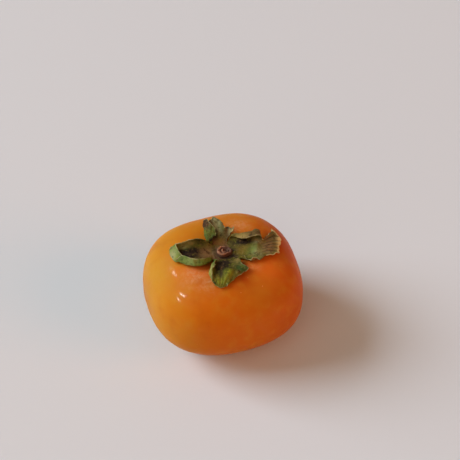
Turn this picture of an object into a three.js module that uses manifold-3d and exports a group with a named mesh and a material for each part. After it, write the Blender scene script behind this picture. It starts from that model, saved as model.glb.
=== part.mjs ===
// A whole, uncut persimmon of the flat, non-astringent kind, standing on its blossom end.
// Four sub-parts: the fruit, the dried calyx with its four curled lobes, the stub of the
// broken stem, and the dry remnant of the flower's style under the fruit.
// Millimetres, +Z up, the floor at z = 0.

import * as THREE from "three";
import { mergeVertices } from "three/addons/utils/BufferGeometryUtils.js";
import Module from "manifold-3d";

const wasm = await Module();
wasm.setup();

// ---- the fruit ----
const HALF_WIDTH = 38; // mean half width across the fruit
const WAIST = 21.6; // height of the widest level above the floor
const CROWN_RISE = 25.6; // from the waist up to the crown, before the hollow at the stem
const BASE_DROP = 22.2; // from the waist down; past the floor, so a small flat spot is left
const CROWN_POWER = 2.9; // squareness of the shoulders: 2 is an ellipse
const BASE_POWER = 2.13;
const LOBING = [
  // sides of the cross-section: how many, how strong, and where the first one lies
  { count: 2, swell: 0.019, at: 38 },
  { count: 3, swell: 0.009, at: 63 },
  { count: 4, swell: 0.036, at: -27 },
];
const HOLLOW_DEPTH = 5; // hollow around the stem
const HOLLOW_REACH = 11;
const BLOSSOM_DEPTH = 2.2; // dip at the blossom end, inside the flat ring that it rests on
const BLOSSOM_RADIUS = 5;
const FRUIT_SIDES = 56;
const CROWN_STEPS = 20;
const BASE_STEPS = 14;

// ---- the calyx ----
const DISC_RADIUS = 6.8; // thick middle of the calyx
const DISC_LOW = 0.4; // its underside and its top, above the fruit's skin
const DISC_HIGH = 1.5;
const DISC_TOP = 0.9; // its top is narrower than its underside
const DISC_SIDES = 48;
const LEAF_THICKNESS = 0.8;
const LEAF_LIFT = 0.9; // middle of the leaf above the skin where it lies down
const LEAF_STEPS = 24; // facets along and across one lobe
const LEAF_WIDTH_STEPS = 12;
const SLIVER = 0.02; // edges shorter than this are merged where lobes and disc meet

// ---- the stem stub and the style remnant ----
const GAP = 0.3; // clear space kept between touching sub-parts
const STUB_X = 0.6; // the stub stands a little off the middle
const STUB_HEIGHT = 2.5;
const STUB_PROFILE = [
  // radius and height of the broken, hollow stub, from the middle of its foot upwards
  [0, 0],
  [3.2, 0],
  [3.4, 1.1],
  [3.2, 2],
  [2.8, 2.5],
  [2.3, 2.2],
  [1.9, 1.5],
  [1.5, 1.9],
  [1.1, 1.9],
  [0.7, 1.1],
  [0, 1],
];
const STUB_SIDES = 28;
const BREAK_UNEVEN = 0.3; // how far the broken rim rises and falls
const REMNANT_PROFILE = [
  // radius and height above the floor
  [0, 0.45],
  [0.5, 0.5],
  [0.8, 0.8],
  [1.1, 1.2],
  [1.5, 1.65],
  [0, 1.65],
];
const REMNANT_SIDES = 16;

const radians = THREE.MathUtils.degToRad;

// Half width of the fruit in the direction of an angle.
function halfWidthAt(angle) {
  const swells = LOBING.map((l) => l.swell * Math.cos(l.count * (angle - radians(l.at))));
  return HALF_WIDTH * (1 + swells.reduce((sum, s) => sum + s, 0));
}

// Height of the upper skin at a share of the half width, 0 in the middle and 1 at the side.
function crownHeight(share) {
  const dome = CROWN_RISE * (1 - share ** CROWN_POWER) ** (1 / CROWN_POWER);
  return WAIST + dome - HOLLOW_DEPTH * Math.exp(-(((share * HALF_WIDTH) / HOLLOW_REACH) ** 2));
}

// Height of the lower skin: the bowl of the base, cut flat by the floor, with the blossom dip.
function baseHeight(share) {
  const bowl = WAIST - BASE_DROP * (1 - share ** BASE_POWER) ** (1 / BASE_POWER);
  const inside = Math.max(0, 1 - ((share * HALF_WIDTH) / BLOSSOM_RADIUS) ** 2);
  return Math.max(bowl, 0) + BLOSSOM_DEPTH * inside ** 2;
}

// Height of the upper skin over a point of the plan.
function skinAt(x, y) {
  const share = Math.hypot(x, y) / halfWidthAt(Math.atan2(y, x));
  return crownHeight(Math.min(share, 1));
}

// Moves every vertex of a geometry by a function.
function reshape(geometry, move) {
  const position = geometry.getAttribute("position");
  const point = new THREE.Vector3();
  for (let i = 0; i < position.count; i += 1) {
    point.fromBufferAttribute(position, i);
    move(point);
    position.setXYZ(i, point.x, point.y, point.z);
  }
  geometry.computeVertexNormals();
  return geometry;
}

// A turned shape about +Z, from a profile of [radius, height] pairs.
function turned(profile, sides) {
  const points = profile.map(([radius, height]) => new THREE.Vector2(radius, height));
  return new THREE.LatheGeometry(points, sides).rotateX(Math.PI / 2);
}

// Shares of the half width from an inner one out to the side, closer together at the side.
function shares(inner, steps) {
  const even = Array.from({ length: steps + 1 }, (_, i) => Math.sin(((i / steps) * Math.PI) / 2));
  return even.map((part) => inner + (1 - inner) * part);
}

// The profile runs up from the middle of the blossom dip, over the flat ring that the fruit
// rests on, round the side and into the hollow at the stem.
function fruitGeometry() {
  const dip = [0, 0.25, 0.5, 0.75, 1].map((part) => (part * BLOSSOM_RADIUS) / HALF_WIDTH);
  const flatEdge = (1 - (WAIST / BASE_DROP) ** BASE_POWER) ** (1 / BASE_POWER);
  const base = [...dip, ...shares(flatEdge, BASE_STEPS)];
  const crown = shares(0, CROWN_STEPS).reverse().slice(1);
  const profile = [
    ...base.map((share) => [share, baseHeight(share)]),
    ...crown.map((share) => [share, crownHeight(share)]),
  ];
  return reshape(turned(profile, FRUIT_SIDES), (p) => {
    const width = halfWidthAt(Math.atan2(p.y, p.x));
    p.x *= width;
    p.y *= width;
  });
}

// A smooth curve through evenly spaced rows of numbers; t runs from 0 to 1.
function through(rows, t) {
  const last = rows.length - 1;
  const i = Math.min(Math.floor(t * last), last - 1);
  const f = t * last - i;
  const at = (k, j) => {
    if (k < 0) return 2 * rows[0][j] - rows[1][j];
    if (k > last) return 2 * rows[last][j] - rows[last - 1][j];
    return rows[k][j];
  };
  return rows[0].map((_, j) => {
    const [a, b, c, d] = [at(i - 1, j), at(i, j), at(i + 1, j), at(i + 2, j)];
    const bend = (2 * a - 5 * b + 4 * c - d) * f + (3 * b - a - 3 * c + d) * f * f;
    return 0.5 * (2 * b + (c - a + bend) * f);
  });
}

// Each lobe is a loft through stations. A station is the distance out from the stem, how far
// its middle bows out, how far it slants, and then seven [across, lift] pairs from the
// clockwise margin to the other one. Lift is the height above the skin, so a margin that
// rolls up and folds back has its last pairs above the ones before. A third value in a pair
// moves that point further out.
const LOBES = [
  {
    // the long one, hollow like a boat, with a rolled margin and a rolled tip
    azimuth: 190,
    arc: [-54, 37],
    stations: [
      [6.6, 0, 0, [-5.8, 3], [-5.2, 1.5], [-2.4, 0.9], [0.8, 0.9], [3.8, 0.9], [6.4, 1.8], [5.4, 3]],
      [10, 0, 0, [-5.8, 4], [-6, 1.8], [-3, 0.9], [1.5, 0.9], [6, 0.9], [9.8, 2.2], [7.8, 4.1]],
      [14, 0, 0, [-4.8, 4.3], [-5.4, 1.9], [-2.8, 0.9], [1.5, 0.9], [6.4, 0.9], [10.6, 2.4], [8.3, 4.6]],
      [17.6, 0, 0, [-3.8, 4.5], [-4.6, 1.9], [-2.4, 0.9], [1, 0.9], [4.6, 0.9], [8.6, 2.2], [6.2, 4.6]],
      [
        20.4, 0.3, -0.3, [-3.4, 4.3], [-4.2, 1.8], [-2.4, 0.9], [-0.5, 0.9],
        [2.2, 0.9], [5.8, 1.7], [4.2, 4.2],
      ],
      [22.8, 1.3, -0.8, [-3.8, 3], [-4, 1.9], [-2.8, 1.4], [-1.2, 1.3], [0.8, 1.3], [3.2, 1.5], [4.2, 2.5]],
      [
        20.4, 0.5, -0.5, [-3.6, 4.5], [-3.2, 4.6], [-2, 4.6], [-0.4, 4.6],
        [1.2, 4.5], [2.8, 4.4], [3.9, 4.3],
      ],
    ],
  },
  {
    // the torn one: its far margin is folded over, and past the tear it opens to a dry fan
    azimuth: 0,
    arc: [-40, 72],
    stations: [
      [5.8, 0, -1.8, [-5.2, 1.4], [-4, 0.9], [-2, 0.9], [1, 0.9], [4.8, 0.9], [8.8, 2.6], [7.4, 3.7]],
      [9, 0, -0.6, [-6.2, 3.2], [-6.3, 1.5], [-3, 0.9], [1, 0.9], [5, 1], [8.2, 3.2], [4.6, 4.2]],
      [12.8, 0, 0, [-9.9, 2.4], [-7.4, 1], [-4, 0.9], [1, 0.9], [5.4, 1.2], [8.8, 3.6], [4, 4.4]],
      [15.6, 0, 1.5, [-6.9, 2.5], [-6.8, 1.1], [-3.6, 1.4], [1, 1.6], [5.4, 1.3], [9.6, 3.5], [5.6, 4.4]],
      [17.8, 0, 0.8, [-8, 1.8], [-6, 1.1], [-3, 0.9], [-0.2, 0.9], [2.4, 0.9], [4.6, 1.2], [5.8, 1.9]],
      [
        19.6, 2.6, 2.2, [-6.6, 1.4], [-4.4, 1.1], [-1.4, 1.2], [1.8, 1.3],
        [4.8, 1.4], [8.2, 1.6], [10.8, 2.1],
      ],
      [
        20.6, 6.6, 2.4, [-5.6, 1.6], [-3.8, 1.8], [-1.2, 1.6], [2.6, 1.6, -1.2],
        [6.6, 1.9, -0.3], [9.6, 2.1, 1.2], [14.6, 2.6],
      ],
    ],
  },
  {
    // the one that points away: one side is folded in like an ear, the other stands up
    azimuth: 112,
    arc: [-39, 22],
    stations: [
      [7, 0, -0.1, [-5.4, 1.6], [-4.6, 0.9], [-2.6, 0.9], [0.2, 0.9], [2.4, 1.1], [4.7, 2.4], [2.2, 3.8]],
      [8.7, 0, -0.2, [-9.6, 3.4], [-6, 1.4], [-3, 0.9], [0.2, 0.9], [3, 1.2], [4.9, 3], [0.2, 4.6]],
      [11, 0, 0, [-5, 3.8], [-4.8, 1.8], [-2.6, 0.9], [0.2, 0.9], [3, 1.3], [4.6, 3.4], [-0.4, 5]],
      [13.2, 0, 0, [-4.6, 5], [-4.2, 2.6], [-2.2, 1.2], [0.3, 1.2], [2.6, 1.8], [4.1, 3.8], [0.4, 5.4]],
      [15.4, 0, 0, [-3.6, 5.6], [-3.2, 3.8], [-1.4, 2.4], [0.6, 2.2], [2.5, 2.8], [3.7, 4.4], [1.3, 5.8]],
      [17.2, 0, 0, [-2.2, 6], [-1.6, 5], [-0.6, 4.4], [0.6, 4.2], [1.6, 4.6], [2.4, 5.2], [1.6, 6.2]],
    ],
  },
  {
    // the short one: a rounded tip, a rolled margin and a small side lobe
    azimuth: 268,
    arc: [-40, 40],
    stations: [
      [7.6, 0, 0.4, [-2.4, 2.8], [-3.5, 1.5], [-2.2, 0.9], [0.4, 0.9], [3.2, 0.9], [5.6, 1.6], [7.6, 3.4]],
      [10.4, 0, 0.4, [-3, 3], [-4.2, 1.7], [-2.6, 0.9], [0.2, 0.9], [3.4, 0.9], [6.3, 1.1], [9.2, 2.2]],
      [13.2, 0, 0, [-3.1, 3.3], [-4.8, 1.8], [-3, 0.9], [0.2, 0.9], [4, 1.2], [8.2, 1.4], [12.2, 1.8]],
      [15.6, 0, 0, [-3.6, 3.3], [-5.3, 1.6], [-3.2, 0.9], [0.2, 1.2], [3.6, 2.6], [6.8, 1.8], [9.9, 1.2]],
      [17.8, 0, 0, [-4.1, 2.9], [-5.2, 1.4], [-3, 0.9], [0, 1], [2.9, 2.2], [5.2, 1.6], [7.2, 1]],
      [20.2, 0.4, 0, [-4, 2], [-3.8, 1.1], [-2.2, 0.9], [0, 0.9], [2.1, 1.3], [3.8, 1.2], [5.4, 0.9]],
      [22.2, 2, 0, [-2.4, 1.2], [-1.8, 0.9], [-1, 0.9], [0, 0.9], [1, 1], [2, 1], [2.8, 0.9]],
    ],
  },
];
const PAIRS = 7; // across each station
const ROOT_DEPTH = 2.5; // how far a lobe starts inside the disc

// The control rows of a lobe, each a list of seven [out, across, lift] points: two arcs on
// the disc, then the stations.
function controlRows({ arc, stations }) {
  const along = Array.from({ length: PAIRS }, (_, k) => (2 * k) / (PAIRS - 1) - 1);
  const onDisc = (radius) =>
    along.map((v) => {
      const angle = radians(arc[0] + ((arc[1] - arc[0]) * (v + 1)) / 2);
      return [radius * Math.cos(angle), radius * Math.sin(angle), LEAF_LIFT];
    });
  const drawn = stations.map(([out, bow, slant, ...pairs]) =>
    pairs.map(([across, lift, further = 0], k) => [
      out + bow * (1 - along[k] ** 2) + slant * along[k] + further,
      across,
      lift,
    ]),
  );
  return [onDisc(DISC_RADIUS - ROOT_DEPTH), onDisc(DISC_RADIUS), ...drawn];
}

// Middle surface of a lobe: u runs along it and v across it, both from 0 to 1.
function lobePoint(rows, azimuth, u, v) {
  const columns = rows[0].map((_, k) => through(rows.map((row) => row[k]), u));
  const [out, across, lift] = through(columns, v);
  const turn = radians(azimuth);
  const x = out * Math.cos(turn) - across * Math.sin(turn);
  const y = out * Math.sin(turn) + across * Math.cos(turn);
  return new THREE.Vector3(x, y, skinAt(x, y) + Math.max(lift, LEAF_LIFT));
}

// A closed leaf of even thickness: the same triangles on both faces and a rim round them.
function leafGeometry(lobe) {
  const rows = controlRows(lobe);
  const along = LEAF_STEPS + 1;
  const across = LEAF_WIDTH_STEPS + 1;
  const middle = Array.from({ length: along * across }, (_, n) => {
    const i = Math.floor(n / across);
    const j = n % across;
    return lobePoint(rows, lobe.azimuth, i / LEAF_STEPS, j / LEAF_WIDTH_STEPS);
  });
  const at = (i, j) => {
    const row = THREE.MathUtils.clamp(i, 0, LEAF_STEPS);
    const column = THREE.MathUtils.clamp(j, 0, LEAF_WIDTH_STEPS);
    return middle[row * across + column];
  };
  const faces = [[], []];
  middle.forEach((point, n) => {
    const i = Math.floor(n / across);
    const j = n % across;
    const down = new THREE.Vector3().subVectors(at(i + 1, j), at(i - 1, j));
    const side = new THREE.Vector3().subVectors(at(i, j + 1), at(i, j - 1));
    const half = down.cross(side).setLength(LEAF_THICKNESS / 2);
    faces[0].push(point.clone().add(half));
    faces[1].push(point.clone().sub(half));
  });
  const count = middle.length;
  const index = [];
  for (let i = 0; i < LEAF_STEPS; i += 1) {
    for (let j = 0; j < LEAF_WIDTH_STEPS; j += 1) {
      const [a, b] = [i * across + j, (i + 1) * across + j];
      index.push(a, b, a + 1, a + 1, b, b + 1);
      index.push(count + a, count + a + 1, count + b, count + a + 1, count + b + 1, count + b);
    }
  }
  const wall = (a, b) => index.push(a, count + a, b, b, count + a, count + b);
  for (let i = 0; i < LEAF_STEPS; i += 1) {
    wall(i * across, (i + 1) * across);
    wall((i + 1) * across + LEAF_WIDTH_STEPS, i * across + LEAF_WIDTH_STEPS);
  }
  for (let j = 0; j < LEAF_WIDTH_STEPS; j += 1) {
    wall(j + 1, j);
    wall(LEAF_STEPS * across + j, LEAF_STEPS * across + j + 1);
  }
  const geometry = new THREE.BufferGeometry().setFromPoints(faces.flat());
  geometry.setIndex(index);
  return geometry;
}

// The thick middle of the calyx follows the hollow of the fruit.
function discGeometry() {
  const radii = [0, 0.25, 0.5, 0.75, 1].map((part) => part * DISC_RADIUS);
  const under = radii.map((radius) => [radius, DISC_LOW]);
  const over = radii.map((radius) => [radius * DISC_TOP, DISC_HIGH]).reverse();
  return reshape(turned([...under, ...over], DISC_SIDES), (p) => {
    p.z += skinAt(p.x, p.y);
  });
}

// A closed geometry as a manifold-3d solid.
function solid(geometry) {
  const bare = geometry.clone();
  bare.deleteAttribute("normal");
  bare.deleteAttribute("uv");
  const merged = mergeVertices(bare, 1e-3);
  return new wasm.Manifold(
    new wasm.Mesh({
      numProp: 3,
      vertProperties: merged.attributes.position.array,
      triVerts: new Uint32Array(merged.index.array),
    }),
  );
}

// A manifold-3d solid as a geometry.
function geometryOf(body) {
  const { vertProperties, triVerts } = body.getMesh();
  const geometry = new THREE.BufferGeometry();
  geometry.setAttribute("position", new THREE.BufferAttribute(vertProperties, 3));
  geometry.setIndex(new THREE.BufferAttribute(triVerts, 1));
  const flat = geometry.toNonIndexed();
  flat.computeVertexNormals();
  return flat;
}

// The lobes and the disc as one body. Where a lobe grazes the disc's edge the union leaves
// slivers, which are merged or dropped.
function calyxGeometry() {
  const pieces = LOBES.map((lobe) => solid(leafGeometry(lobe)));
  const joined = pieces.reduce((sum, piece) => sum.add(piece), solid(discGeometry()));
  const bodies = joined.asOriginal().simplify(SLIVER).decompose().sort((a, b) => b.volume() - a.volume());
  return geometryOf(bodies[0]);
}

// The stub's foot follows the calyx under it, and its broken rim is uneven.
function stubGeometry() {
  const foot = skinAt(0, 0) + DISC_HIGH + GAP;
  return reshape(turned(STUB_PROFILE, STUB_SIDES), (p) => {
    const height = p.z / STUB_HEIGHT;
    const angle = Math.atan2(p.y, p.x);
    const radius = Math.hypot(p.x, p.y);
    const uneven = BREAK_UNEVEN * Math.sin(3 * angle + 1) * Math.min(1, radius / 2);
    p.x += STUB_X;
    p.z += foot + height * uneven + (1 - height) * (skinAt(p.x, p.y) - skinAt(0, 0));
  });
}

function named(name, geometry, color, roughness) {
  const material = new THREE.MeshStandardMaterial({ color, roughness, metalness: 0 });
  const mesh = new THREE.Mesh(geometry, material);
  mesh.name = name;
  return mesh;
}

const persimmon = new THREE.Group();
persimmon.add(
  named("fruit", fruitGeometry(), 0xd0732b, 0.35),
  named("calyx", calyxGeometry(), 0x6b6a38, 0.8),
  named("stem_stub", stubGeometry(), 0x6a3b2c, 0.85),
  named("style_remnant", turned(REMNANT_PROFILE, REMNANT_SIDES), 0x2c1c14, 0.9),
);

// The origin is under the middle of the whole fruit's box.
const middle = new THREE.Box3().setFromObject(persimmon).getCenter(new THREE.Vector3());
persimmon.position.set(-middle.x, -middle.y, 0);

export default persimmon;
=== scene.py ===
# %% [markdown]
# # A persimmon with its dried calyx
#
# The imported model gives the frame: four solids at their real size, in metres, with the floor
# at z = 0. Here each of them gets its finished surface. The fruit's skin and the curled calyx
# are worked out again from the same rules as the solids, only finer, so every new surface
# lies where its solid lies.

# %% Load the frame
import math

import bpy
import numpy as np
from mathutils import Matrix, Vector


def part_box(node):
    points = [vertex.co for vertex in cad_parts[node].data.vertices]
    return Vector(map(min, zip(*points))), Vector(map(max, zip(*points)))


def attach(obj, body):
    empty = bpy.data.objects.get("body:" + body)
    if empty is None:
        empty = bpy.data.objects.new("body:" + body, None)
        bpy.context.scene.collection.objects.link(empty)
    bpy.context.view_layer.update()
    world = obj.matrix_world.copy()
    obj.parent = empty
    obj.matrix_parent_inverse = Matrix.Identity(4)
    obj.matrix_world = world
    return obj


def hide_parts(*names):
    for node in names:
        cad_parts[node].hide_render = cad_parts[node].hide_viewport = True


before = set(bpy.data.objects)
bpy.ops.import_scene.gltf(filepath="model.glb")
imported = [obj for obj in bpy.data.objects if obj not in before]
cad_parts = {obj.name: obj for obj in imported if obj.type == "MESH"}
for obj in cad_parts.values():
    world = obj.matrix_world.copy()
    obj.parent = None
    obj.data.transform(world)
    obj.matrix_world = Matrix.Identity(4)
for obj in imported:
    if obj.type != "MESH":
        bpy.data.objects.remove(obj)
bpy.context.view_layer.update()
MM = 0.001
print("nodes:", ", ".join(sorted(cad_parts)))


# %% Driving dimensions, in millimetres
HALF_WIDTH = 38.0
WAIST = 21.6  # height of the widest part
CROWN_RISE = 25.6  # from the waist to the top of the dome
BASE_DROP = 22.2  # from the waist to the bottom of the bowl, just below the floor
CROWN_POWER = 2.9  # above 2 the dome has fuller shoulders than a ball
BASE_POWER = 2.13
LOBING = [(2, 0.019, 38), (3, 0.009, 63), (4, 0.036, -27)]  # count, swell, degrees
HOLLOW_DEPTH = 5.0  # round the stem
HOLLOW_REACH = 11.0
BLOSSOM_DEPTH = 2.2  # the dip under the fruit
BLOSSOM_RADIUS = 5.0
DISC_RADIUS = 6.8  # the thick middle of the calyx
DISC_LOW = 0.4  # its under face, over the skin
DISC_HIGH = 1.5  # its upper face, over the skin
LEAF_LIFT = 0.9  # least height of a lobe's middle surface over the skin
STUB_X = 0.6
STUB_HEIGHT = 2.5


def half_width_at(angle):
    """Mean half width, swollen by one cosine for each count of sides."""
    swell = sum(s * np.cos(n * (angle - np.radians(at))) for n, s, at in LOBING)
    return HALF_WIDTH * (1 + swell)


def crown_height(share):
    """A superellipse dome above the waist, less a Gaussian hollow in the middle."""
    dome = CROWN_RISE * (1 - share**CROWN_POWER) ** (1 / CROWN_POWER)
    return WAIST + dome - HOLLOW_DEPTH * np.exp(-((share * HALF_WIDTH / HOLLOW_REACH) ** 2))


def base_height(share):
    """A superellipse bowl under the waist, cut by the floor, with a dip at the blossom end."""
    bowl = WAIST - BASE_DROP * (1 - share**BASE_POWER) ** (1 / BASE_POWER)
    inside = np.clip(1 - (share * HALF_WIDTH / BLOSSOM_RADIUS) ** 2, 0, None)
    return np.maximum(bowl, 0) + BLOSSOM_DEPTH * inside**2


def skin_at(x, y):
    """Height of the upper skin over a point of the plan."""
    share = np.hypot(x, y) / half_width_at(np.arctan2(y, x))
    return crown_height(np.clip(share, 0, 1))


turn = np.radians(np.arange(0, 360, 0.5))
outline = half_width_at(turn) * np.array([np.cos(turn), np.sin(turn)])
own_middle = (outline.min(axis=1) + outline.max(axis=1)) / 2
low, high = (np.array(corner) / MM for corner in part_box("fruit"))
SHIFT = np.append((low[:2] + high[:2]) / 2 - own_middle, 0)
print("fruit is", np.round(high - low, 1), "mm; shifted by", np.round(SHIFT, 2))


# %% [markdown]
# ## Camera, floor and light
#
# A short telephoto lens looks down at 42 degrees, as one looks at fruit on a table. The
# light is a large soft window on the left and a little behind, with a pale room around.

# %% Camera
IMAGE_SIDE = 460
PITCH = math.radians(42.3)
DISTANCE = 560.0
FOCAL_PIXELS = 80 / HALF_WIDTH * DISTANCE  # the half width spans 80 pixels
WAIST_PIXEL = (223.0, 287.2)  # where the middle of the waist falls
SENSOR = 36.0

forward = np.array([0, math.cos(PITCH), -math.sin(PITCH)])
upward = np.array([0, math.sin(PITCH), math.cos(PITCH)])
across = (WAIST_PIXEL[0] - IMAGE_SIDE / 2) / FOCAL_PIXELS
rise = (IMAGE_SIDE / 2 - WAIST_PIXEL[1]) / FOCAL_PIXELS
ray = forward + across * np.array([1, 0, 0]) + rise * upward
eye = np.array([0, 0, WAIST]) + SHIFT - ray * DISTANCE

bpy.context.scene.view_settings.view_transform = "Standard"
camera_data = bpy.data.cameras.new("camera")
camera_data.sensor_width = SENSOR
camera_data.lens = FOCAL_PIXELS * SENSOR / IMAGE_SIDE
camera = bpy.data.objects.new("camera", camera_data)
camera.location = eye * MM
camera.rotation_euler = (math.pi / 2 - PITCH, 0, 0)
camera_data.clip_start = 0.01
camera_data.clip_end = 500  # metres: past the far edge of the floor
bpy.context.scene.collection.objects.link(camera)
bpy.context.scene.camera = camera
print("lens", round(camera_data.lens, 1), "mm, eye at", np.round(eye), "mm")


# %% Colour and node helpers
def linear(code, alpha=1.0):
    """The linear colour of an sRGB hex value such as "d97a2b"."""
    parts = [int(code[i : i + 2], 16) / 255 for i in (0, 2, 4)]
    bent = [p / 12.92 if p <= 0.04045 else ((p + 0.055) / 1.055) ** 2.4 for p in parts]
    return (*bent, alpha)


def node(tree, kind, inputs=None, **settings):
    """Adds a node, sets its settings, and fills its inputs by their names or places.

    An input is a value, or another node's output, which is then linked to it."""
    made = tree.nodes.new("ShaderNode" + kind)
    for name, value in settings.items():
        setattr(made, name, value)
    for key, value in (inputs or {}).items():
        if isinstance(value, bpy.types.NodeSocket):
            tree.links.new(value, made.inputs[key])
        else:
            made.inputs[key].default_value = value
    return made


def new_material(name, look):
    """A material with only a Principled shader, whose own sockets get the look's values."""
    material = bpy.data.materials.new(name)
    material.use_nodes = True
    tree = material.node_tree
    tree.nodes.clear()
    shader = node(tree, "BsdfPrincipled", look)
    node(tree, "OutputMaterial", {"Surface": shader.outputs[0]})
    return material, tree, shader


def stain(tree, colour, hue, mask, low, high, most=1.0, least=0.0, times=None):
    """The colour with another hue laid over it, as strongly as a mask says.

    The strength goes smoothly from least, where the mask is at low or beyond, to most,
    where it is at high or beyond. It is multiplied by times, if that is given."""
    ends = {0: mask, 1: low, 2: high, 3: least, 4: most}
    strength = node(tree, "MapRange", ends, interpolation_type="SMOOTHSTEP").outputs[0]
    if times is not None:
        strength = node(tree, "Math", {0: times, 1: strength}, operation="MULTIPLY").outputs[0]
    return node(tree, "Mix", {0: strength, 6: colour, 7: hue}, data_type="RGBA").outputs[2]


print("a test colour:", np.round(linear("d97a2b"), 3))


# %% Floor
# A wide plane of matt, pale paint: it takes soft shadows and a little of the fruit's colour.
FLOOR_SIDE = 400.0  # metres, so that no edge of it is seen in a low view
floor_mesh = bpy.data.meshes.new("floor")
half = FLOOR_SIDE / 2
corners = [(-half, -half, 0), (half, -half, 0), (half, half, 0), (-half, half, 0)]
floor_mesh.from_pydata(corners, [], [(0, 1, 2, 3)])
floor = bpy.data.objects.new("floor", floor_mesh)
bpy.context.scene.collection.objects.link(floor)
paint_look = {"Base Color": linear("d9e2e8"), "Roughness": 0.6, "Specular IOR Level": 0.2}
paint, tree, shader = new_material("pale_matt_floor", paint_look)
floor_mesh.materials.append(paint)
print("floor is", FLOOR_SIDE, "m wide")


# %% Light
FAR = 8  # each lamp stands this many times further off, so that the floor is lit evenly
AIM = (0, 0, 25)  # the point of the fruit that every lamp looks at, in millimetres


def area_light(name, place_mm, size_mm, watts, colour):
    """A soft rectangular lamp that looks at the fruit.

    It is moved out by FAR, and its sides and its power grow to match, so the fruit gets the
    same light from the same part of the room."""
    data = bpy.data.lights.new(name, "AREA")
    data.shape = "RECTANGLE"
    data.size, data.size_y = (FAR * side * MM for side in size_mm)
    data.energy = FAR**2 * watts
    data.color = linear(colour)[:3]
    lamp = bpy.data.objects.new(name, data)
    lamp.location = FAR * np.array(place_mm) * MM
    away = np.array(place_mm, float) - np.array(AIM, float)
    yaw = math.atan2(away[1], away[0])
    tilt = math.acos(away[2] / np.linalg.norm(away))
    lamp.rotation_euler = (0, tilt, yaw)
    bpy.context.scene.collection.objects.link(lamp)
    return lamp


window = area_light("window", (-870, 170, 570), (520, 700), 11.6, "f6f8ff")
room_fill = area_light("room_fill", (-250, -750, 560), (900, 900), 2.4, "ffe8cc")
warm_wall = area_light("warm_wall", (900, -300, 280), (700, 500), 5.2, "ff9048")
for lamp in (window, room_fill, warm_wall):
    lamp.visible_glossy = False  # its mirror image in the skin would be too large
window_gap = area_light("window_gap", (-520, -40, 690), (14, 70), 3.2, "fffaf2")
window_sill = area_light("window_sill", (-770, -190, 640), (14, 50), 1.7, "fffaf2")
window_top = area_light("window_top", (-560, 470, 660), (30, 10), 2.6, "fffaf2")
for lamp in (window_gap, window_sill, window_top):
    lamp.visible_diffuse = False  # they are seen only as glints
world = bpy.data.worlds.new("pale_room")
bpy.context.scene.world = world
world.use_nodes = True
room = world.node_tree.nodes["Background"]
room.inputs["Color"].default_value = linear("d8c6b2")
room.inputs["Strength"].default_value = 0.27


# %% [markdown]
# ## Surfaces on a grid
#
# Every piece is a grid of points worked out as whole arrays. One helper closes the grid and
# hands it to Blender.

# %% Mesh helpers
def add_piece(name, points_mm, faces, node_name, attributes=None):
    """A smooth mesh from points in millimetres and faces; it stands for a CAD node."""
    mesh = bpy.data.meshes.new(name)
    points = (np.asarray(points_mm) + SHIFT) * MM
    faces = np.asarray(faces)
    mesh.vertices.add(len(points))
    mesh.vertices.foreach_set("co", points.astype(np.float32).ravel())
    corners = (faces >= 0).sum(axis=1)
    mesh.loops.add(int(corners.sum()))
    mesh.loops.foreach_set("vertex_index", faces[faces >= 0].astype(np.int32))
    mesh.polygons.add(len(faces))
    starts = np.concatenate([[0], np.cumsum(corners)[:-1]])
    mesh.polygons.foreach_set("loop_start", starts.astype(np.int32))
    mesh.polygons.foreach_set("use_smooth", np.ones(len(faces), bool))
    mesh.update(calc_edges=True)
    for key, values in (attributes or {}).items():
        values = np.asarray(values, np.float32)
        kind, field = ("FLOAT_COLOR", "color") if values.ndim == 2 else ("FLOAT", "value")
        layer = mesh.attributes.new(key, kind, "POINT")
        layer.data.foreach_set(field, values.ravel())
    mesh.validate()
    piece = bpy.data.objects.new(name, mesh)
    bpy.context.scene.collection.objects.link(piece)
    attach(piece, "root")
    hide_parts(node_name)
    print(name, "has", len(faces), "faces")
    return piece


def turned_faces(rows, columns):
    """Faces of a closed turned shape: rings of points, row by row, between two end points.

    The first end point comes right after the rings and the last one after it."""
    i, j = np.meshgrid(np.arange(rows - 1), np.arange(columns), indexing="ij")
    after = (j + 1) % columns
    here, there = i * columns, (i + 1) * columns
    rings = np.stack([here + j, here + after, there + after, there + j], -1).reshape(-1, 4)
    j = np.arange(columns)
    after = (j + 1) % columns
    first, last = rows * columns, rows * columns + 1
    none = np.full(columns, -1)
    start = np.stack([np.full(columns, first), after, j, none], -1)
    top_row = (rows - 1) * columns
    end = np.stack([np.full(columns, last), top_row + j, top_row + after, none], -1)
    return np.concatenate([rings, start, end])


def turned_piece(points, first, last):
    """Points and faces of a closed shape from an array of rings and its two end points."""
    rows, columns, _ = points.shape
    return np.concatenate([points.reshape(-1, 3), [first, last]]), turned_faces(rows, columns)


def waves(x, y, z, size_mm, count, seed):
    """Smooth natural unevenness between about -1 and 1: a sum of sine waves that run in
    random directions, each 0.7 to 1.5 times size_mm long."""
    draw = np.random.default_rng(seed)
    total = 0
    for _ in range(count):
        way = draw.normal(size=3)
        way *= 2 * math.pi / (size_mm * draw.uniform(0.7, 1.5) * np.linalg.norm(way))
        total = total + np.sin(way[0] * x + way[1] * y + way[2] * z + draw.uniform(0, 7))
    return total / math.sqrt(count / 2) / 1.6  # such a sum grows with the root of its count


# %% [markdown]
# ## The fruit
#
# A persimmon's skin is thin, smooth and tight, over four faint lobes. It isn't a turned
# shape: broad dents and soft ridges catch the light. They could be sculpted by hand, but a
# sum of long sine waves gives them the same way each time. So the rule of the solid is
# evaluated finely, and the waves then move the surface in and out by a few tenths of a
# millimetre.

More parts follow.
